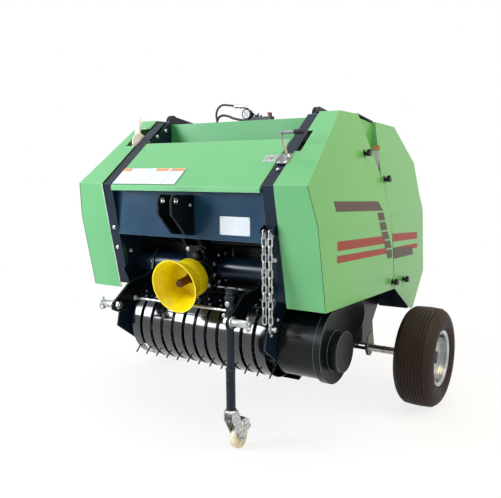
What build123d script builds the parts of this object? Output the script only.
"""Small round baler with a roller chamber, carried on three-point links.

Millimetres. X runs across the machine (right side +X), Y runs backwards from the hitch, Z is up
from the ground. Places along the machine are given behind the nose, the front edge of the hood,
and along() turns them into the part's own Y.
"""
import os
from math import atan2, cos, degrees, hypot, radians, sin

from build123d import *

os.makedirs("parts", exist_ok=True)

# ---------------------------------------------------------------- overall
nose_y = -618.5            # the nose line, in the part's own Y
plate_in = 414.0           # midplane to the inner face of a side plate
plate_t = 6.0              # side plates
joint_gap = 6.0            # air between parts that swing past each other
seat_gap = 0.3             # clearance of a piece that sits in or on another body
run_gap = 0.08             # radial clearance of a shaft that turns in its bore
sheet_t = 2.5              # cover sheet

# slope of the front: nose line to slope top
nose_z = 1131.0
slope_top = (403.0, 1440.0)

# ---------------------------------------------------------------- hinge of the tailgate
hinge = (472.0, 1430.0)
hinge_pin_r = 15.0
hinge_eye_r = 38.0
arm_t = 8.0
hinge_pin_head = 10.0

# ---------------------------------------------------------------- lift cylinders of the tailgate
lift_pivot = (476.0, 765.0)
lift_eye = (664.0, 1323.0)
lift_x = (448.0, 492.0)
lift_pin_r = 12.5
lift_pin_head = 8.0
barrel_r = 22.0
lift_rod_r = 12.5
lift_eye_r = 24.0

# ---------------------------------------------------------------- chamber
chamber = (822.0, 905.0)
bale_r = 350.0
roller_r = 65.0
rib_h = 8.0
rib_w = 12.0
ribs = 8
roller_sides = 16          # a rolled tube, drawn with two flats between ribs
roller_bore_r = 18.0
front_rollers = (130.0, 156.0, 182.0, 256.0)      # degrees round the chamber from the rear, upwards
tail_rollers = (-78.0, -52.0, -26.0, 0.0, 26.0, 52.0, 78.0, 104.0)
ring_r = bale_r + roller_r + rib_h                # pitch circle of the rollers
wall_r = 515.0                                    # edge of the tailgate's side plates
roller_half = plate_in - joint_gap
plate_out = plate_in + plate_t
arm_in = plate_out + joint_gap                    # inner face of the tailgate's arms

# line on which covers part: front cover ends here, tailgate cover begins one gap behind
cover_split = ((600.0, 1436.0), (762.0, 1152.0), (789.0, 1035.0), (837.0, 886.0),
               (862.0, 759.0), (889.0, 582.0))
plate_split_back = -75.0                          # the side plates part this far from that line

# ---------------------------------------------------------------- covers
cover_in = 470.0
cover_out = 650.0
crease_z = 970.0
crease_slope = 0.18
cover_foot = (105.0, 614.0)
latch_slot = ((cover_in - 4.0, 498.0), (174.0, 292.0))     # across, then behind the nose, on the right slope
lever_slot = ((cover_in - 4.0, 532.0), (232.0, 349.0))

# hand screws that hold the covers, and the posts behind them
front_knobs = ((606.0, 1258.0), (861.0, 621.0))
front_posts_at = ((518.0, 1305.0), (775.0, 640.0))
tail_knobs = ((806.0, 1135.0), (1018.0, 611.0))
knob_stud_r = 5.0
knob_neck_r = 8.0
knob_lobe_r = 9.5
knob_lobe_off = 8.5
knob_lobes = 3
knob_head_h = 16.0
knob_off = 3.0
knob_neck = 11.0
stud_gap = 0.5
post_r = 9.0
strap_r = 15.0
strap_t = 6.0
skin_gap = 5.0

# ---------------------------------------------------------------- front beam and hitch
beam_y = (45.0, 145.0)
beam_z = (889.0, 1105.0)
beam_wall = 6.0
lug_mid = 36.0
lug_t = 10.0
top_pin = (-82.0, 1062.0)
top_pin_r = 9.65
lower_pin = (-88.0, 578.0)
lower_pin_r = 11.0
lower_pin_len = 92.0
linch_in = 14.0
linch_r = 4.5
brace_rod = (27.0, 592.0)
brace_rod_r = 5.0
hitch_in = 312.0
hitch_t = 10.0

# ---------------------------------------------------------------- drive line
tube_at = (225.0, 738.0)   # axis of the cross tube, which the drive line meets
tube_r = 51.0
tube_wall = 5.0
drive_pitch = 10.0         # degrees that the drive line dips towards the front
# places along the drive line are given ahead of the cross tube
shaft_end = 252.0
spline_r = 17.4
spline_root_r = 14.45
spline_w = 8.6
spline_run_out = 8.0
shaft_seat = 40.0
shaft_collar = (24.0, 9.0)
hub_front = 151.0
hub_r = 52.0
gearbox_run = (-110.0, 75.0)
gearbox_x = (-70.0, 45.0)
gearbox_h = 75.0
mask_t = 12.0
mask_top = 125.0
boss_at = (18.0, 92.0)
boss_rings = ((32.0, 18.0), (22.0, 50.0))
hanger_in = 6.0
hanger_t = 10.0
flange_r = 82.0
flange_t = 15.0
guard_mouth = 289.0
guard_mouth_r = 117.0
guard_lip = 4.0
guard_neck = 223.0
guard_neck_r = 88.0
guard_drum_r = 89.0
guard_step = 15.0
guard_wall = 3.0

# ---------------------------------------------------------------- pickup
pickup = (250.0, 440.0)
band_r = 174.0
band_t = 3.0
band_w = 45.0
tine_pitch = 64.0
bands = 12
bar_r = 112.0
bar_size = 20.0
tine_tip_r = 205.0
tine_d = 5.0
tine_bars = 4
reel_shaft_r = 18.0
reel_disc_r = 130.0

# ---------------------------------------------------------------- chain case on the right
case_x = (600.0, 632.0)
case_r = 162.0
case_wall = 3.0
case_top = (481.0, 532.0)
case_top_r = 73.0
drum_r = 150.0
cap_at = (243.0, 422.0)
cap_x = 674.0
cap_r = 88.0

# ---------------------------------------------------------------- wheels
wheel = (922.0, 248.0)
tyre_r = 248.0
tyre_w = 196.0
tyre_x = 806.0
rim_r = 139.0
bead_r = 127.0
axle_r = 19.0
bracket_x = (494.0, 506.0)

# ---------------------------------------------------------------- jack and caster
jack = (288.0, -50.0)
jack_post_r = 17.0
sleeve_z = (300.0, 690.0)
sleeve_cap = 14.0
jack_travel = 100.0
leg_r = 20.0
leg_top = 370.0
leg_floor_t = 5.0
trail = 55.0
caster_r = 50.0
caster_w = 32.0
caster_pin_r = 6.0
fork_top = 182.0
fork_plate_t = 8.0
fork_disc_r = 24.0


def along(distance):
    """Y of a place this far behind the nose."""
    return nose_y + distance


def at(point):
    """A (behind the nose, height) pair in the side plane's own coordinates."""
    return (along(point[0]), point[1])


def side_plane(x):
    """The plane across the machine at x: its own X is the machine's Y, its own Y is Z."""
    return Plane.YZ.offset(x)


def drive_plane(ahead):
    """The plane across the drive line this far ahead of the cross tube; it faces forward, Y is up."""
    lean = radians(drive_pitch)
    return Plane(origin=(0, along(tube_at[0]) - ahead * cos(lean), tube_at[1] - ahead * sin(lean)),
                 x_dir=(1, 0, 0), z_dir=(0, -cos(lean), -sin(lean)))


def ring_point(angle):
    """Centre of the roller that stands at this angle on the chamber's pitch circle."""
    return (chamber[0] + ring_r * cos(radians(angle)), chamber[1] + ring_r * sin(radians(angle)))


def sheet(outline, x, thickness):
    """A flat plate with this side outline, from x towards +X."""
    with BuildPart() as plate:
        with BuildSketch(side_plane(x)):
            with BuildLine():
                Polyline([at(p) for p in outline], close=True)
            make_face()
        extrude(amount=thickness)
    return plate.part


def rod(center, radius, x0, x1):
    """A round bar across the machine between x0 and x1."""
    with BuildPart() as bar:
        with BuildSketch(side_plane(min(x0, x1))):
            with Locations(at(center)):
                Circle(radius)
        extrude(amount=abs(x1 - x0))
    return bar.part


def mirrored(part):
    """The same piece on the left side."""
    return mirror(part, about=Plane.YZ)


def save(part, name):
    part.label = name
    export_step(part, f"parts/{name}.step")


slope = (slope_top[1] - nose_z) / slope_top[0]


def slope_z(distance):
    """Height of the front slope this far behind the nose."""
    return nose_z + slope * distance


lid_half = plate_in - joint_gap
lid_back = 253.0
lid_drop = 7.0
lid_pin = (22.0, slope_z(22.0) - lid_drop - 19.0)
lid_pin_r = 5.0
lid_lug_r = 9.0
lid_lug_w = 12.0

plate_split = [(y + plate_split_back, z) for y, z in cover_split]
split_low = plate_split[-1]

# ================================================================ side plates, with their flanges
plate_outline = [
    (4.0, slope_z(4.0) - 7.0),
    (beam_y[0], beam_z[0]),
    (92.0, 805.0),
    (92.0, 737.0),
    (66.0, 717.0),
    (106.0, 645.0),
    (26.0, 508.0),
    (12.0, 446.0),
    (190.0, 318.0),
    (330.0, 243.0),
    (560.0, 320.0),
    (870.0, 228.0),
    (990.0, 228.0),
    (990.0, 362.0),
    (split_low[0], 378.0),
] + [(y, z) for y, z in reversed(plate_split[1:])] + [
    (575.0, 1345.0),
    (530.0, 1385.0),
    (hinge[0] + hinge_eye_r, hinge[1]),
    (hinge[0] - hinge_eye_r, hinge[1]),
]
plate_flange_w = cover_in - plate_in
strip_foot = 640.0


def flange_edge(height):
    """How far behind the nose a side plate's front flange is at this height."""
    top = slope_z(4.0) - 7.0
    return 4.0 + (beam_y[0] - 4.0) * (top - height) / (top - beam_z[0])


def front_edge(height):
    """How far behind the nose a front cover's front edge is at this height."""
    return cover_foot[0] * (nose_z - height) / (nose_z - cover_foot[1])


with BuildPart() as side_plate:
    add(sheet(plate_outline, plate_in, plate_t))
    with BuildSketch(side_plane(plate_in)):
        with Locations(at(hinge)):
            Circle(hinge_eye_r)
    extrude(amount=plate_t)
    with BuildSketch(side_plane(plate_in)):
        with BuildLine():
            Polyline([at(p) for p in ((4.0, slope_z(4.0) - 7.0), (400.0, slope_z(400.0) - 7.0),
                                      (400.0, slope_z(400.0) - 13.0), (10.0, slope_z(10.0) - 19.0),
                                      (beam_y[0] + 6.0, beam_z[0]), (beam_y[0], beam_z[0]))], close=True)
        make_face()
    extrude(amount=plate_flange_w)
    for angle in front_rollers:
        with BuildSketch(side_plane(plate_in)):
            with Locations(at(ring_point(angle))):
                Circle(roller_bore_r + run_gap)
        extrude(amount=plate_t, mode=Mode.SUBTRACT)
    with BuildSketch(side_plane(plate_in)):
        with BuildLine():
            Polyline([at(p) for p in ((beam_y[0], beam_z[0]), (beam_y[0] + plate_t, beam_z[0]),
                                      (front_edge(strip_foot) + plate_t, strip_foot),
                                      (front_edge(strip_foot), strip_foot))], close=True)
        make_face()
    extrude(amount=plate_flange_w)
    for center, radius in ((pickup, reel_shaft_r + run_gap), (tube_at, tube_r - tube_wall),
                           (lid_pin, lid_pin_r + run_gap)):
        with BuildSketch(side_plane(plate_in)):
            with Locations(at(center)):
                Circle(radius)
        extrude(amount=plate_t, mode=Mode.SUBTRACT)
    add(rod(hinge, hinge_pin_r, plate_in, arm_in + arm_t + hinge_pin_head))
    add(rod(lift_pivot, lift_pin_r, plate_out, lift_x[1] + lift_pin_head))
save(side_plate.part, "side_plate_right")
save(mirrored(side_plate.part), "side_plate_left")

# ================================================================ front beam
with BuildPart() as front_beam:
    with BuildSketch(side_plane(-plate_in)):
        with Locations(at(((beam_y[0] + beam_y[1]) / 2, (beam_z[0] + beam_z[1]) / 2))):
            Rectangle(beam_y[1] - beam_y[0], beam_z[1] - beam_z[0])
            Rectangle(beam_y[1] - beam_y[0] - 2 * beam_wall, beam_z[1] - beam_z[0] - 2 * beam_wall,
                      mode=Mode.SUBTRACT)
    extrude(amount=2 * plate_in)
save(front_beam.part, "front_beam")

# ================================================================ top link lugs
lug_outline = [
    (beam_y[0], 905.0), (-18.0, 912.0), (top_pin[0] - 26.0, 1004.0), (top_pin[0] - 28.0, top_pin[1]),
    (top_pin[0] - 12.0, top_pin[1] + 28.0), (beam_y[0], 1082.0),
]
with BuildPart() as top_link_lug:
    add(sheet(lug_outline, lug_mid - lug_t / 2, lug_t))
    with BuildSketch(side_plane(lug_mid - lug_t / 2)):
        with Locations(at(top_pin)):
            Circle(top_pin_r)
    extrude(amount=lug_t, mode=Mode.SUBTRACT)
save(Compound(children=[top_link_lug.part, mirrored(top_link_lug.part)]), "top_link_lugs")

# ================================================================ lower hitch plates, pins
hitch_outline = [
    (-116.0, 588.0), (-5.0, 668.0), (26.0, 676.0), (116.0, 683.0), (160.0, 711.0), (172.0, 760.0),
    (205.0, 805.0), (300.0, 805.0), (325.0, 665.0), (130.0, 640.0), (60.0, 600.0), (-30.0, 548.0),
    (-84.0, 545.0), (-116.0, 560.0),
]
with BuildPart() as hitch_plate:
    add(sheet(hitch_outline, hitch_in, hitch_t))
    with BuildSketch(side_plane(hitch_in)):
        with Locations(at(lower_pin)):
            Circle(lower_pin_r)
        with Locations(at(tube_at)):
            Circle(tube_r)
    extrude(amount=hitch_t, mode=Mode.SUBTRACT)
with BuildPart() as hitch_plates:
    add(hitch_plate.part)
    add(mirrored(hitch_plate.part))
    add(rod(brace_rod, brace_rod_r, -hitch_in, hitch_in))
save(hitch_plates.part, "hitch_plates")

collar_r = 18.0
collar_w = 14.0
nut_w = 18.0
pin_root = hitch_in + hitch_t
with BuildPart() as hitch_pin:
    add(rod(lower_pin, lower_pin_r, hitch_in - nut_w - 6.0, pin_root + lower_pin_len))
    add(rod(lower_pin, collar_r, pin_root, pin_root + collar_w))
    with BuildSketch(side_plane(hitch_in - nut_w)):
        with Locations(at(lower_pin)):
            RegularPolygon(19.0, 6)
    extrude(amount=nut_w)
    with BuildSketch(Plane.XY.offset(lower_pin[1] - collar_r)):
        with Locations((pin_root + lower_pin_len - linch_in, along(lower_pin[0]))):
            Circle(linch_r + seat_gap)
    extrude(amount=2 * collar_r, mode=Mode.SUBTRACT)
save(Compound(children=[hitch_pin.part, mirrored(hitch_pin.part)]), "lower_link_pins")

linch_x = pin_root + lower_pin_len - linch_in
with BuildPart() as linch_pin:
    with BuildSketch(Plane.XY.offset(lower_pin[1] - lower_pin_r - 16.0)):
        with Locations((linch_x, along(lower_pin[0]))):
            Circle(linch_r)
    extrude(amount=2 * lower_pin_r + 36.0)
save(Compound(children=[linch_pin.part, mirrored(linch_pin.part)]), "linch_pins")

# ================================================================ gearbox, tube, guard, shaft
box_mid = (gearbox_x[0] + gearbox_x[1]) / 2
box_w = gearbox_x[1] - gearbox_x[0]
mask_front = gearbox_run[1] + mask_t
with BuildPart() as gearbox:
    with BuildSketch(drive_plane(gearbox_run[0])):
        with Locations((box_mid, 0)):
            RectangleRounded(box_w, 2 * gearbox_h, 14.0)
    extrude(amount=gearbox_run[1] - gearbox_run[0])
    with BuildSketch(drive_plane(gearbox_run[1])):
        with Locations((box_mid, (mask_top - gearbox_h) / 2)):
            Rectangle(box_w, mask_top + gearbox_h)
    extrude(amount=mask_t)
    with BuildSketch(drive_plane(mask_front)):
        Circle(hub_r)
    extrude(amount=hub_front - mask_front)
    for radius, length in boss_rings:
        with BuildSketch(drive_plane(mask_front)):
            with Locations(boss_at):
                Circle(radius)
        extrude(amount=length)
    for x in (gearbox_x[0] - flange_t, gearbox_x[1]):
        with BuildSketch(side_plane(x)):
            with Locations(at(tube_at)):
                Circle(flange_r)
        extrude(amount=flange_t)
    with BuildSketch(drive_plane(hub_front)):
        Circle(spline_r + run_gap)
    extrude(amount=-shaft_seat, mode=Mode.SUBTRACT)
    for x in (gearbox_x[0] + hanger_in, gearbox_x[1] - hanger_in - hanger_t):
        add(sheet([(beam_y[0] + 25.0, beam_z[0]), (beam_y[1], beam_z[0]), (230.0, 800.0),
                   (150.0, 780.0), (120.0, 840.0)], x, hanger_t))
save(gearbox.part, "gearbox")

with BuildPart() as drive_tube:
    add(rod(tube_at, tube_r, gearbox_x[1] + flange_t, plate_in))
    add(rod(tube_at, tube_r, -plate_in, gearbox_x[0] - flange_t))
    with BuildSketch(side_plane(-plate_in)):
        with Locations(at(tube_at)):
            Circle(tube_r - tube_wall)
    extrude(amount=2 * plate_in, mode=Mode.SUBTRACT)
save(drive_tube.part, "cross_tube")

# the guard's section: distance ahead of the cross tube, and radius
guard_bore = spline_r + 4.0
guard_outside = ((hub_front, guard_bore), (hub_front, guard_drum_r), (guard_neck - guard_step, guard_drum_r),
                 (guard_neck, guard_neck_r), (guard_mouth - guard_lip, guard_mouth_r),
                 (guard_mouth - guard_lip, guard_mouth_r + guard_lip),
                 (guard_mouth, guard_mouth_r + guard_lip))
guard_inside = ((guard_mouth, guard_mouth_r - guard_wall), (guard_neck, guard_neck_r - guard_wall),
                (guard_neck - guard_step, guard_drum_r - guard_wall),
                (hub_front + guard_wall, guard_drum_r - guard_wall), (hub_front + guard_wall, guard_bore))
forward = drive_plane(0).z_dir
with BuildPart() as pto_guard:
    with BuildSketch(Plane(origin=drive_plane(0).origin, x_dir=forward, z_dir=(-1, 0, 0))):
        with BuildLine():
            Polyline(*guard_outside, *guard_inside, close=True)
        make_face()
    revolve(axis=Axis(drive_plane(0).origin, forward))
save(pto_guard.part, "pto_guard")

spline_back = hub_front + spline_run_out
with BuildPart() as pto_shaft:
    with BuildSketch(drive_plane(spline_back)):
        Circle(spline_root_r)
        with PolarLocations(0, 6):
            with Locations((spline_root_r + (spline_r - spline_root_r) / 2 - 1.0, 0)):
                Rectangle(spline_r - spline_root_r + 2.0, spline_w)
    extrude(amount=shaft_end - spline_back)
    with BuildSketch(drive_plane(hub_front - shaft_seat + seat_gap)):
        Circle(spline_r)
    extrude(amount=shaft_seat - seat_gap + spline_run_out)
    with BuildSketch(drive_plane(spline_back)):
        Circle(shaft_collar[0])
    extrude(amount=shaft_collar[1])
save(pto_shaft.part, "pto_shaft")

# ================================================================ twine box and its lid
box_floor_z = 1165.0
box_back = 455.0
box_top_z = 1420.0
box_half = plate_in
with BuildPart() as twine_box:
    with BuildSketch(side_plane(-box_half)):
        with BuildLine():
            Polyline([at(p) for p in (
                (beam_y[1] - 6.0, beam_z[1]), (beam_y[1] - 6.0, box_floor_z + 3.0),
                (box_back - 3.0, box_floor_z + 3.0), (box_back - 3.0, box_top_z), (box_back, box_top_z),
                (box_back, box_floor_z), (beam_y[1] - 3.0, box_floor_z), (beam_y[1] - 3.0, beam_z[1]))],
                close=True)
        make_face()
    extrude(amount=2 * box_half)
save(twine_box.part, "twine_box")

with BuildPart() as lid:
    with BuildSketch(side_plane(-lid_half)):
        with BuildLine():
            Polyline([at(p) for p in (
                (-4.0, slope_z(-4.0) - lid_drop), (lid_back, slope_z(lid_back) - lid_drop),
                (lid_back + 2.0, slope_z(lid_back) - lid_drop - 3.0),
                (lid_back - 12.0, slope_z(lid_back) - lid_drop - 24.0),
                (lid_back - 15.0, slope_z(lid_back) - lid_drop - 22.0),
                (lid_back - 5.0, slope_z(lid_back) - lid_drop - 6.0),
                (-1.0, slope_z(-1.0) - lid_drop - 3.5), (-1.0, slope_z(-4.0) - lid_drop - 22.0),
                (-4.0, slope_z(-4.0) - lid_drop - 22.0))], close=True)
        make_face()
    extrude(amount=2 * lid_half)
    for x in (-lid_half, lid_half - lid_lug_w):
        with BuildSketch(side_plane(x)):
            with Locations(at(lid_pin)):
                Circle(lid_lug_r)
            with Locations(at((lid_pin[0], slope_z(lid_pin[0]) - lid_drop - 5.0))):
                Rectangle(2 * lid_lug_r, 4.0)
            make_hull()
        extrude(amount=lid_lug_w)
    add(rod(lid_pin, lid_pin_r, -plate_in - plate_t, plate_in + plate_t))
save(lid.part, "twine_box_lid")


# ================================================================ covers
def cover_shell(outline, open_edges):
    """A sheet cover on the right side: the outline swept out to the creased side panel, hollow."""
    with BuildPart() as shell:
        with BuildSketch(side_plane(cover_in)):
            with BuildLine():
                Polyline([at(p) for p in outline], close=True)
            make_face()
        extrude(amount=cover_out - cover_in)
        tilt = Plane(origin=(cover_out, 0, crease_z), x_dir=(0, 1, 0),
                     z_dir=(1, 0, crease_slope))
        split(bisect_by=tilt, keep=Keep.BOTTOM)
        walls = shell.faces().filter_by(Axis.X)
        inner = walls.sort_by(Axis.X)[0]
        openings = [inner] + [f for f in shell.faces() if is_open(f, open_edges)]
        offset(amount=-sheet_t, openings=openings)
    return shell.part


def is_open(face, edges):
    """Whether a cover's face stands on one of these outline edges."""
    if abs(face.normal_at().X) > 0.01:
        return False
    c = face.center()
    for (y0, z0), (y1, z1) in edges:
        dy, dz = y1 - y0, z1 - z0
        off = ((c.Y - along(y0)) * dz - (c.Z - z0) * dy) / hypot(dy, dz)
        part_way = ((c.Y - along(y0)) * dy + (c.Z - z0) * dz) / (dy * dy + dz * dz)
        if abs(off) < 0.5 and 0 < part_way < 1:
            return True
    return False


def bored(shell, centers):
    """The cover with its clearance holes for the hand screws."""
    with BuildPart() as cover:
        add(shell)
        for center in centers:
            add(rod(center, knob_stud_r + stud_gap, cover_in, cover_out + 1.0), mode=Mode.SUBTRACT)
    return cover.part


front_outline = [(0.0, nose_z), cover_foot] + list(reversed(cover_split)) + [slope_top]
front_open = [(cover_foot, cover_split[-1])] + list(zip(cover_split[:-1], cover_split[1:]))
cover_front = bored(cover_shell(front_outline, front_open), front_knobs)


def slotted(cover, across, back):
    """A front cover with a slot through its slope, for what reaches out from the side plate."""
    with BuildPart() as cut:
        add(cover)
        with BuildSketch(Plane.XY.offset(slope_z(back[0]) - 20.0)):
            with Locations(((across[0] + across[1]) / 2, along((back[0] + back[1]) / 2))):
                Rectangle(across[1] - across[0], back[1] - back[0])
        extrude(amount=slope_z(back[1]) - slope_z(back[0]) + 40.0, mode=Mode.SUBTRACT)
    return cut.part


save(slotted(cover_front, latch_slot[0], latch_slot[1]), "cover_front_right")
save(mirrored(slotted(cover_front, lever_slot[0], lever_slot[1])), "cover_front_left")

tail_split = [(y + joint_gap + 2.0, z) for y, z in cover_split[1:]]
rear_front_top = [(790.0, 1360.0), (805.0, 1409.0)]
rear_outline = tail_split + [(1136.0, 433.0), (1183.0, 427.0), (1353.0, 612.0), (1319.0, 934.0),
                             (1290.0, 1034.0), (1277.0, 1212.0), (1050.0, 1396.0)] \
    + list(reversed(rear_front_top))
rear_open = list(zip(tail_split[:-1], tail_split[1:])) + [(tail_split[-1], (1136.0, 433.0)),
                                                          ((1136.0, 433.0), (1183.0, 427.0))]
# the sunk panel between the covers, ahead of the rear cover's return wall
recess_x = 552.0
recess_front = 14.0
recess_outline = [(cover_split[0][0] + recess_front, 1424.0),
                  (tail_split[0][0] + 2.0, tail_split[0][1] + 2.0),
                  (rear_front_top[0][0] + 1.0, rear_front_top[0][1]),
                  (rear_front_top[1][0] + 1.0, rear_front_top[1][1] - 8.0)]
with BuildPart() as cover_rear_shell:
    add(cover_shell(rear_outline, rear_open))
    add(sheet(recess_outline, recess_x, sheet_t))
cover_rear = bored(cover_rear_shell.part, tail_knobs)
save(cover_rear, "cover_rear_right")
save(mirrored(cover_rear), "cover_rear_left")


def knob(center, x_seat, x_skin):
    """A hand screw: stud from its seat through the cover, with a three-lobed head outside."""
    with BuildPart() as screw:
        head_x = x_skin + knob_off + knob_neck
        add(rod(center, knob_stud_r, x_seat, head_x))
        add(rod(center, knob_neck_r, x_skin + knob_off, head_x))
        with BuildSketch(side_plane(head_x)):
            with Locations(at(center)):
                RegularPolygon(knob_lobe_r, 6)
                with PolarLocations(knob_lobe_off, knob_lobes, start_angle=90.0):
                    RegularPolygon(knob_lobe_r, 6)
        extrude(amount=knob_head_h)
    return screw.part


def skin_x(height):
    """Outer face of the cover's side panel at this height."""
    return cover_out - crease_slope * max(0.0, height - crease_z)


# ================================================================ hand screws with their posts


def post_end(height):
    """Where a post stops short of the cover's inner face."""
    return skin_x(height) - sheet_t - skin_gap


with BuildPart() as front_screws:
    for foot, center in zip(front_posts_at, front_knobs):
        strap_x = post_end(max(foot[1], center[1])) - strap_t
        add(rod(foot, post_r, plate_out, strap_x))
        with BuildSketch(side_plane(strap_x)):
            with Locations(at(foot), at(center)):
                Circle(strap_r)
            make_hull()
        extrude(amount=strap_t)
        add(knob(center, strap_x, skin_x(center[1])))
save(Compound(children=[front_screws.part, mirrored(front_screws.part)]), "front_cover_screws")

# ================================================================ tailgate: plates, arms, bars
tail_front = [(split_low[0] + joint_gap, 390.0)] + [
    (y + joint_gap, z) for y, z in reversed(plate_split[1:])] + [(592.0, 1352.0)]
tail_low = min(chamber[1] - wall_r, tail_front[0][1]) - 10.0
cap_outline = [(612.0, 1440.0), (612.0, 1434.0), (798.0, 1407.0), (798.0, 1413.0)]
cap_out = 560.0
brace_outline = ((plate_out, 505.0), (480.0, 430.0), (640.0, 432.0), (640.0, 590.0), (plate_out, 610.0))
brace_y = 1128.0
brace_t = 4.0
arm_outline = [(hinge[0], hinge[1] - hinge_eye_r), (640.0, 1352.0), (830.0, 1352.0), (830.0, 1412.0),
               (640.0, 1440.0), (hinge[0], hinge[1] + hinge_eye_r)]
arm_seat = [(690.0, 1352.0), (830.0, 1352.0), (830.0, 1400.0), (690.0, 1390.0)]
with BuildPart() as tail_plate:
    with BuildSketch(side_plane(plate_in)):
        with Locations(at(chamber)):
            Circle(wall_r)
        with BuildLine():
            Polyline([at(p) for p in tail_front + [(tail_front[-1][0], chamber[1] + wall_r + 10.0),
                                                   (0.0, chamber[1] + wall_r + 10.0), (0.0, tail_low),
                                                   (tail_front[0][0], tail_low)]], close=True)
        make_face(mode=Mode.SUBTRACT)
    extrude(amount=plate_t)
    add(sheet(arm_seat, plate_out, joint_gap))
    add(sheet(arm_outline, arm_in, arm_t))
    with BuildSketch(side_plane(arm_in)):
        with Locations(at(hinge)):
            Circle(hinge_eye_r)
    extrude(amount=arm_t)
    with BuildSketch(side_plane(arm_in)):
        with Locations(at(hinge)):
            Circle(hinge_pin_r + run_gap)
    extrude(amount=arm_t, mode=Mode.SUBTRACT)
    for angle in tail_rollers:
        with BuildSketch(side_plane(plate_in)):
            with Locations(at(ring_point(angle))):
                Circle(roller_bore_r + run_gap)
        extrude(amount=plate_t, mode=Mode.SUBTRACT)
    add(sheet(cap_outline, arm_in, cap_out - arm_in))
    with BuildSketch(Plane.XZ.offset(-along(brace_y))):
        with BuildLine():
            Polyline(*brace_outline, close=True)
        make_face()
    extrude(amount=-brace_t)
save(tail_plate.part, "tailgate_plate_right")
save(mirrored(tail_plate.part), "tailgate_plate_left")

bar_angles = (91.0, -13.0, -65.0)
bar_ring = 488.0
tail_bar_r = 20.0
with BuildPart() as tail_bars:
    for angle in bar_angles:
        place = (chamber[0] + bar_ring * cos(radians(angle)), chamber[1] + bar_ring * sin(radians(angle)))
        add(rod(place, tail_bar_r, -plate_in, plate_in))
save(tail_bars.part, "tailgate_crossbars")

with BuildPart() as tail_screws:
    for center in tail_knobs:
        add(rod(center, post_r, plate_out, post_end(center[1])))
        add(knob(center, plate_out, skin_x(center[1])))
save(Compound(children=[tail_screws.part, mirrored(tail_screws.part)]), "rear_cover_screws")

# ================================================================ rollers
roller_names = [f"roller_front_{n + 1}" for n in range(len(front_rollers))] + \
    [f"roller_tail_{n + 1}" for n in range(len(tail_rollers))]
for name, angle in zip(roller_names, front_rollers + tail_rollers):
    center = ring_point(angle)
    with BuildPart() as roller:
        with BuildSketch(side_plane(-roller_half)):
            with Locations(at(center)):
                RegularPolygon(roller_r, roller_sides, rotation=180.0 / roller_sides)
                with PolarLocations(0, ribs):
                    with Locations((roller_r + rib_h / 2 - 1.0, 0)):
                        Rectangle(rib_h + 2.0, rib_w)
        extrude(amount=2 * roller_half)
        add(rod(center, roller_bore_r, -plate_out - 4.0, plate_out + 4.0))
    save(roller.part, name)

# ================================================================ pickup: bands and reel
band_rise = 70.0
bar_back = 432.0
bar_z = (594.0, 286.0)
with BuildPart() as pickup_bands:
    for n in range(bands):
        x = (n - (bands - 1) / 2) * tine_pitch - band_w / 2
        with BuildSketch(side_plane(x)):
            with BuildLine() as band_line:
                arc = CenterArc(at(pickup), band_r, band_rise, 360.0 - 2 * band_rise)
                Line(arc @ 0, at((bar_back, bar_z[0])))
                Line(arc @ 1, at((bar_back, bar_z[1])))
            trace(line_width=band_t)
        extrude(amount=band_w)
    for z in bar_z:
        with BuildSketch(side_plane(-plate_in)):
            with Locations(at((bar_back, z))):
                Rectangle(24.0, 14.0)
        extrude(amount=2 * plate_in)
save(pickup_bands.part, "pickup_bands")

reel_half = plate_in - 2 * joint_gap
disc_t = 6.0
with BuildPart() as reel:
    add(rod(pickup, reel_shaft_r, -plate_out - 20.0, case_x[0] - 20.0))
    for x in (-reel_half, -2.5 * tine_pitch, 2.5 * tine_pitch - disc_t, reel_half - disc_t):
        add(rod(pickup, reel_disc_r, x, x + disc_t))
    for n in range(tine_bars):
        turn = radians(45.0 + 360.0 / tine_bars * n)
        place = (pickup[0] + bar_r * cos(turn), pickup[1] + bar_r * sin(turn))
        with BuildSketch(Plane(origin=(-reel_half, *at(place)), x_dir=(0, cos(turn), sin(turn)),
                               z_dir=(1, 0, 0))):
            Rectangle(bar_size, bar_size)
        extrude(amount=2 * reel_half)
        for k in range(-(bands // 2), bands // 2 + 1):
            foot = Plane(origin=(k * tine_pitch, *at(place)), x_dir=(1, 0, 0),
                         z_dir=(0, cos(turn), sin(turn)))
            with BuildSketch(foot):
                Rectangle(tine_d, tine_d)
            extrude(amount=tine_tip_r - bar_r)
save(reel.part, "pickup_reel")

# ================================================================ chain case, right side
with BuildPart() as chain_case:
    with BuildSketch(side_plane(case_x[0])):
        with Locations(at(pickup)):
            Circle(case_r)
        with Locations(at(case_top)):
            Circle(case_top_r)
        make_hull()
    extrude(amount=case_x[1] - case_x[0])
    with BuildSketch(side_plane(case_x[0])):
        with Locations(at(pickup)):
            Circle(case_r - case_wall)
        with Locations(at(case_top)):
            Circle(case_top_r - case_wall)
        make_hull()
    extrude(amount=case_x[1] - case_x[0] - case_wall, mode=Mode.SUBTRACT)
    add(rod(pickup, drum_r, plate_out, case_x[0] + 1.0))
    with BuildSketch(side_plane(plate_out)):
        with Locations(at(pickup)):
            Circle(drum_r - case_wall)
    extrude(amount=case_x[1] - case_wall - plate_out, mode=Mode.SUBTRACT)
    add(rod(cap_at, cap_r, case_x[1] - 1.0, cap_x))
    add(rod(case_top, 30.0, plate_out, case_x[1] - 1.0))
    with BuildSketch(side_plane(case_x[0])):
        with Locations(at(pickup)):
            Circle(case_r)
            Circle(drum_r - case_wall, mode=Mode.SUBTRACT)
        with Locations(at(case_top)):
            Circle(case_top_r)
    extrude(amount=case_wall)
save(chain_case.part, "chain_case")

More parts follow.
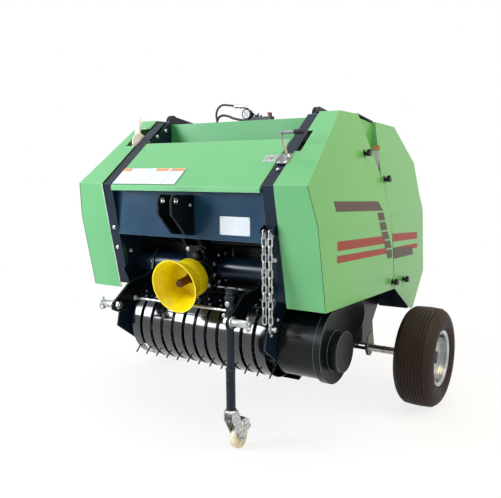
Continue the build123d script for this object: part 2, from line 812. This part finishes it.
# ================================================================ axle brackets, wheels
bracket_outline = [(830.0, 300.0), (896.0, 268.0), (897.0, 240.0), (916.0, 206.0), (936.0, 198.0),
                   (958.0, 206.0), (990.0, 250.0), (966.0, 382.0), (1098.0, 520.0), (1085.0, 548.0),
                   (830.0, 548.0)]
socket_y = (898.0, 965.0)
socket_z = (262.0, 350.0)
tie_r = 9.0
hub_half = 60.0
hub_out = 40.0
hub_bore_r = axle_r + run_gap
washer_r = 26.0
washer_t = 5.0
nut_r = 21.0
nut_h = 14.0
with BuildPart() as bracket:
    add(sheet(bracket_outline, bracket_x[0], bracket_x[1] - bracket_x[0]))
    add(sheet([(socket_y[0], socket_z[0]), (socket_y[1], socket_z[0]), (socket_y[1], socket_z[1]),
               (socket_y[0], socket_z[1])], plate_out, bracket_x[0] - plate_out))
    add(rod((wheel[0], wheel[1] - tie_r), tie_r, plate_out, bracket_x[0]))
    washer_x = tyre_x + hub_out + seat_gap
    add(rod(wheel, axle_r, bracket_x[0], washer_x + washer_t + nut_h))
    add(rod(wheel, washer_r, washer_x, washer_x + washer_t))
    with BuildSketch(side_plane(washer_x + washer_t)):
        with Locations(at(wheel)):
            RegularPolygon(nut_r, 6)
    extrude(amount=nut_h - 4.0)
save(Compound(children=[bracket.part, mirrored(bracket.part)]), "axle_brackets")

rim_face = 82.0
seat_x = rim_face - 10.0
dish_x = 44.0
rim_t = 5.0
# right half of the tyre's section: distance from its middle, and radius
tyre_half = ((seat_x, bead_r), (rim_face + 1.0, rim_r + 5.0), (tyre_w / 2, rim_r + 44.0),
             (tyre_w / 2 - 6.0, tyre_r - 36.0), (tyre_w / 2 - 24.0, tyre_r - 13.0),
             (tyre_w / 2 - 58.0, tyre_r))
rim_outside = ((-rim_face, rim_r), (-seat_x, bead_r), (seat_x, bead_r), (rim_face, rim_r))
rim_dish = ((rim_face - 5.0, bead_r - rim_t), (dish_x, bead_r - rim_t), (hub_out + 14.0, 88.0),
            (hub_out + 14.0, 32.0), (hub_out, 32.0), (hub_out, hub_bore_r), (-hub_half, hub_bore_r),
            (-hub_half, 32.0), (hub_out - 8.0, 32.0), (hub_out + 2.0, 90.0),
            (dish_x - 14.0, bead_r - rim_t), (-rim_face + 5.0, bead_r - rim_t))


def turned(section):
    """The ring that this section makes when it turns round the axle."""
    with BuildPart() as ring:
        with BuildSketch(Plane.XZ):
            with BuildLine():
                Polyline(*section, close=True)
            make_face()
        revolve(axis=Axis.X)
    return ring.part


tyre = turned([(-x, r) for x, r in tyre_half] + list(reversed(tyre_half)))
rim = turned(rim_outside + rim_dish)
wheel_at = Location((tyre_x, *at(wheel)))
for side in ("right", "left"):
    for body, name in ((tyre, "tyre"), (rim, "rim")):
        piece = body.moved(wheel_at)
        save(piece if side == "right" else mirrored(piece), f"{name}_{side}")

# ================================================================ jack with its caster
jack_at = Location((jack[0], along(jack[1]), 0))
clamp_z = (560.0, 620.0)
clamp_h = 12.0
cap_knob_r = 15.0
collar_z = 662.0
collar_out_r = 22.0
with BuildPart() as jack_sleeve:
    with BuildSketch(Plane.XY.offset(sleeve_z[0])):
        Circle(jack_post_r)
    extrude(amount=sleeve_z[1] - sleeve_z[0])
    with BuildSketch(Plane.XY.offset(sleeve_z[1])):
        Circle(cap_knob_r)
    extrude(amount=sleeve_cap)
    with BuildSketch(Plane.XY.offset(collar_z)):
        Circle(collar_out_r)
    extrude(amount=clamp_h)
    for z in clamp_z:
        with BuildSketch(Plane.XY.offset(z)):
            with Locations(((hitch_in - jack[0]) / 2, 0)):
                Rectangle(hitch_in - jack[0], 2 * jack_post_r)
        extrude(amount=clamp_h)
save(jack_sleeve.part.moved(jack_at), "jack_sleeve")

leg_z = (fork_top + fork_plate_t, leg_top)
with BuildPart() as jack_leg:
    with BuildSketch(Plane.XY.offset(leg_z[0])):
        Circle(leg_r)
    extrude(amount=leg_z[1] - leg_z[0])
    with BuildSketch(Plane.XY.offset(leg_z[0] + leg_floor_t)):
        Circle(jack_post_r + seat_gap)
    extrude(amount=leg_z[1] - leg_z[0], mode=Mode.SUBTRACT)
save(jack_leg.part.moved(jack_at), "jack_leg")
print("leg clear of the clamp when raised", clamp_z[0] - leg_top - jack_travel)

fork_gap = 3.0
fork_t = 4.0
fork_half = caster_w / 2 + fork_gap + fork_t
with BuildPart() as caster_fork:
    with BuildSketch(Plane.XY.offset(fork_top - fork_t)):
        Circle(fork_disc_r)
        Rectangle(2 * fork_half, 44.0)
    extrude(amount=fork_t)
    with BuildSketch(Plane.XY.offset(fork_top)):
        Circle(fork_disc_r)
    extrude(amount=fork_plate_t - seat_gap)
    for x in (-fork_half, fork_half - fork_t):
        with BuildSketch(Plane.YZ.offset(x)):
            with BuildLine():
                Polyline((-22.0, fork_top), (22.0, fork_top), (trail + 14.0, caster_r + 10.0),
                         (trail + 14.0, caster_r - 12.0), (trail - 14.0, caster_r - 12.0),
                         (-22.0, fork_top - 34.0), close=True)
            make_face()
        extrude(amount=fork_t)
    with BuildSketch(Plane.YZ.offset(-fork_half)):
        with Locations((trail, caster_r)):
            Circle(caster_pin_r)
    extrude(amount=2 * fork_half)
save(caster_fork.part.moved(jack_at), "caster_fork")

with BuildPart() as caster_wheel:
    with BuildSketch(Plane.YZ.offset(-caster_w / 2)):
        with Locations((trail, caster_r)):
            Circle(caster_r)
            Circle(caster_pin_r + run_gap, mode=Mode.SUBTRACT)
    extrude(amount=caster_w)
save(caster_wheel.part.moved(jack_at), "caster_wheel")

# ================================================================ lift cylinders of the tailgate
lift_len = hypot(lift_eye[0] - lift_pivot[0], lift_eye[1] - lift_pivot[1])
lift_angle = degrees(atan2(lift_eye[1] - lift_pivot[1], lift_eye[0] - lift_pivot[0]))
lift_mid = (lift_x[0] + lift_x[1]) / 2
lift_along = Plane(origin=(lift_mid, *at(lift_pivot)), x_dir=(1, 0, 0),
                   z_dir=(0, cos(radians(lift_angle)), sin(radians(lift_angle))))
barrel_end = lift_len - lift_eye_r - 22.0
with BuildPart() as barrel:
    add(rod(lift_pivot, lift_eye_r, lift_x[0], lift_x[1]))
    with BuildSketch(lift_along.offset(lift_pin_r + 4.0)):
        Circle(barrel_r)
    extrude(amount=barrel_end - lift_pin_r - 4.0)
    with BuildSketch(lift_along.offset(lift_eye_r + 14.0)):
        Circle(lift_rod_r + run_gap)
    extrude(amount=barrel_end, mode=Mode.SUBTRACT)
    with BuildSketch(side_plane(lift_x[0])):
        with Locations(at(lift_pivot)):
            Circle(lift_pin_r + run_gap)
    extrude(amount=lift_x[1] - lift_x[0], mode=Mode.SUBTRACT)
save(barrel.part, "lift_barrel_right")
save(mirrored(barrel.part), "lift_barrel_left")

with BuildPart() as lift_rod:
    add(rod(lift_eye, lift_eye_r, lift_x[0], lift_x[1]))
    add(rod(lift_eye, lift_pin_r, plate_out + seat_gap, lift_x[1] + lift_pin_head))
    with BuildSketch(lift_along.offset(lift_eye_r + 16.0)):
        Circle(lift_rod_r)
    extrude(amount=lift_len - lift_eye_r - 16.0 - lift_pin_r)
save(lift_rod.part, "lift_rod_right")
save(mirrored(lift_rod.part), "lift_rod_left")

# ================================================================ hasp on the lid, latch crank beside it
hasp_x = (343.0, 405.0)
hasp_y = (118.0, 162.0)
hasp_t = 3.0
hasp_hole = (381.0, 9.0)
slope_angle = degrees(atan2(slope, 1.0))


def slope_plane(x, back, lift):
    """The plane on the front slope at this place, lifted off it; Y runs up the slope."""
    lean = radians(slope_angle)
    return Plane(origin=(x, along(back) - lift * sin(lean), slope_z(back) + lift * cos(lean)),
                 x_dir=(1, 0, 0), z_dir=(0, -sin(lean), cos(lean)))


lid_face = -lid_drop * cos(radians(slope_angle))
with BuildPart() as hasp:
    with BuildSketch(slope_plane((hasp_x[0] + hasp_x[1]) / 2, sum(hasp_y) / 2, lid_face)):
        Rectangle(hasp_x[1] - hasp_x[0], hasp_y[1] - hasp_y[0])
        with Locations((hasp_hole[0] - sum(hasp_x) / 2, 0)):
            RegularPolygon(hasp_hole[1], 8, mode=Mode.SUBTRACT)
    extrude(amount=hasp_t)
save(hasp.part, "lid_hasp")

latch_at = (447.0, 132.0)
latch_plate = (56.0, 66.0)
latch_foot = (30.0, 44.0)
latch_t = 4.0
crank_r = 6.0
crank_foot = (455.0, 140.0)
crank_path = ((crank_foot[0], crank_foot[1], slope_z(crank_foot[1])), (424.0, 140.0, 1341.0),
              (488.0, 140.0, 1341.0))
grip_r = 10.5
grip_len = 46.0


def place(point):
    """A point from across, behind the nose and height."""
    return (point[0], along(point[1]), point[2])


def wire(points, radius, sides):
    """A bar of this many flats along straight runs, mitred where they meet."""
    with BuildPart() as bar:
        with BuildLine() as path:
            Polyline([place(p) for p in points])
        with BuildSketch(Plane(origin=path.line @ 0, z_dir=path.line % 0)):
            RegularPolygon(radius, sides)
        sweep(transition=Transition.RIGHT)
    return bar.part


with BuildPart() as latch_crank:
    with BuildSketch(slope_plane(*latch_at, 0.0)):
        RectangleRounded(*latch_plate, 12.0)
    extrude(amount=latch_t)
    with BuildSketch(slope_plane(*latch_at, lid_face)):
        Rectangle(*latch_foot)
    extrude(amount=-lid_face)
    add(wire(crank_path, crank_r, 8))
save(latch_crank.part, "latch_crank")

with BuildPart() as latch_grip:
    with BuildSketch(Plane.YZ.offset(crank_path[-1][0])):
        with Locations((along(crank_path[-1][1]), crank_path[-1][2])):
            RegularPolygon(grip_r, 10)
    extrude(amount=grip_len)
save(latch_grip.part, "latch_grip")

# ================================================================ twine lever on the left
lever_pivot = (288.0, 1322.0)
lever_x = (-506.0, -500.0)
lever_top = (308.0, 1449.0)
lever_w = 11.0
sector_x = (-492.0, -488.0)
sector_r = 52.0
with BuildPart() as twine_lever:
    add(rod(lever_pivot, 8.0, lever_x[0], -plate_out))
    with BuildSketch(side_plane(sector_x[0])):
        with Locations(at(lever_pivot)):
            RegularPolygon(sector_r, 16)
        with Locations(at((lever_pivot[0], lever_pivot[1] - 14.0 - sector_r))):
            Rectangle(4 * sector_r, 2 * sector_r, mode=Mode.SUBTRACT)
    extrude(amount=sector_x[1] - sector_x[0])
    with BuildSketch(side_plane(lever_x[0])):
        with Locations(at(lever_pivot), at(lever_top)):
            RegularPolygon(lever_w, 8)
        make_hull()
    extrude(amount=lever_x[1] - lever_x[0])
save(twine_lever.part, "twine_lever")

# ================================================================ safety chain on its hook
strands = ((417.0, 12), (446.0, 13))              # across, number of links
chain_y = 14.0
hook_z = 944.0
hook_pin_r = 3.4
hook_x = (400.0, 462.0)
hook_t = 5.0
ear_z = (925.0, 934.0, 954.0, 968.0)
wire_r = 4.0
wire_flat = wire_r * cos(radians(30.0))           # half of the wire across its flats
link_half = 19.5                                  # middle of a link to the middle of its end's wire
link_side = 9.0
link_bend = (4.0, 11.0)
link_bite = 0.1                                   # how far links press into each other
link_pitch = 2 * (link_half - wire_flat) + link_bite
with BuildPart() as hook:
    for x, low, high in ((hook_x[0], beam_y[0], beam_y[0]),
                         (hook_x[1] - hook_t, flange_edge(ear_z[0]), flange_edge(ear_z[3]))):
        add(sheet([(low, ear_z[0]), (chain_y - 10.0, ear_z[1]), (chain_y - 10.0, ear_z[2]),
                   (high, ear_z[3])], x, hook_t))
    add(rod((chain_y, hook_z), hook_pin_r, *hook_x))
save(hook.part, "chain_hook")

with BuildPart() as link:
    with BuildLine() as link_path:
        Polyline((0, link_side, 0), (0, link_side, link_bend[1]), (0, link_bend[0], link_half),
                 (0, -link_bend[0], link_half), (0, -link_side, link_bend[1]), (0, -link_side, -link_bend[1]),
                 (0, -link_bend[0], -link_half), (0, link_bend[0], -link_half), (0, link_side, -link_bend[1]),
                 close=True)
    with BuildSketch(Plane(origin=(0, link_side, 0), x_dir=(1, 0, 0), z_dir=(0, 0, 1))):
        RegularPolygon(wire_r, 6)
    sweep(transition=Transition.RIGHT)
print("link", [round(v, 2) for v in link.part.bounding_box().size])
link_play = 0.05                                  # air between the top links and the hook's pin
chain_top = hook_z + hook_pin_r + link_play + wire_flat - link_half
with BuildPart() as chain:
    for x, count in strands:
        for n in range(count):
            place_of_link = Location((x, along(chain_y), chain_top - n * link_pitch), (0, 0, 90.0 * (n % 2)))
            add(link.part.moved(place_of_link))
save(chain.part, "safety_chain")

# ================================================================ lift valve and its hose, behind the box
valve_y = (box_back, box_back + 34.0)
valve_x = (36.0, 187.0)
valve_z = (box_top_z - 40.0, box_top_z + 16.0)
gauge_at = (valve_x[0] + 20.0, valve_z[1] + 15.0)
gauge_r = 23.0
gauge_y = (box_back - 7.0, box_back + 26.0)
fitting = ((gauge_at[0] - 2.0, gauge_at[1] + 9.0), (gauge_at[0] - 20.0, gauge_at[1] + 36.0),
           (gauge_at[0] - 56.0, gauge_at[1] + 41.0))
hose_y = box_back + 16.0
hose_r = 5.1
hose_end = (-128.0, box_back + 30.0, box_top_z - 58.0)
hose_corner = (-152.0, hose_y, box_top_z + 93.0)
with BuildPart() as valve:
    with BuildSketch(Plane.XZ.offset(-along(valve_y[0]))):
        with Locations(((valve_x[0] + valve_x[1]) / 2, (valve_z[0] + valve_z[1]) / 2)):
            Rectangle(valve_x[1] - valve_x[0], valve_z[1] - valve_z[0])
    extrude(amount=-(valve_y[1] - valve_y[0]))
    with BuildSketch(Plane.XZ.offset(-along(gauge_y[0]))):
        with Locations(gauge_at):
            Circle(gauge_r)
    extrude(amount=-(gauge_y[1] - gauge_y[0]))
    with BuildSketch(side_plane(valve_x[0] + 60.0)):
        with Locations(at((hose_y, valve_z[1] + 4.0))):
            RegularPolygon(15.0, 6)
    extrude(amount=22.0)
    with BuildSketch(Plane.XY.offset(valve_z[1])):
        with Locations((valve_x[1] - 12.0, along(hose_y))):
            RegularPolygon(10.0, 6)
    extrude(amount=12.0)
    add(wire([(x, hose_y, z) for x, z in fitting], 8.5, 6))
hose_drop = Vector(*hose_end) - Vector(*hose_corner)
hose_dip = hose_r * hypot(hose_drop.X, hose_drop.Y) / hose_drop.length
with BuildPart() as hose_seat:
    with BuildSketch(Plane.XY.offset(hose_end[2] - hose_dip)):
        with Locations((hose_end[0], along((box_back + hose_end[1] + 12.0) / 2))):
            Rectangle(30.0, hose_end[1] + 12.0 - box_back)
    extrude(amount=-26.0)
save(Compound(children=[valve.part, hose_seat.part]), "hydraulic_valve")


def bend_radius(before, corner, after):
    """The widest bend that leaves a straight stretch on both runs at this corner."""
    into, out = Vector(*corner) - Vector(*before), Vector(*after) - Vector(*corner)
    half_turn = radians(into.get_angle(out)) / 2
    return 0.45 * min(into.length, out.length) / (sin(half_turn) / cos(half_turn))


hose_points = [(fitting[-1][0], hose_y, fitting[-1][1]), hose_corner, hose_end]
hose_bend = bend_radius(*hose_points)
print("hose bend radius", round(hose_bend, 1), "in diameters", round(hose_bend / (2 * hose_r), 2))
with BuildPart() as hose:
    with BuildLine() as hose_path:
        FilletPolyline(*[place(p) for p in hose_points], radius=hose_bend)
    with BuildSketch(Plane(origin=hose_path.line @ 0, z_dir=hose_path.line % 0)):
        Circle(hose_r)
    sweep()
save(hose.part, "hydraulic_hose")
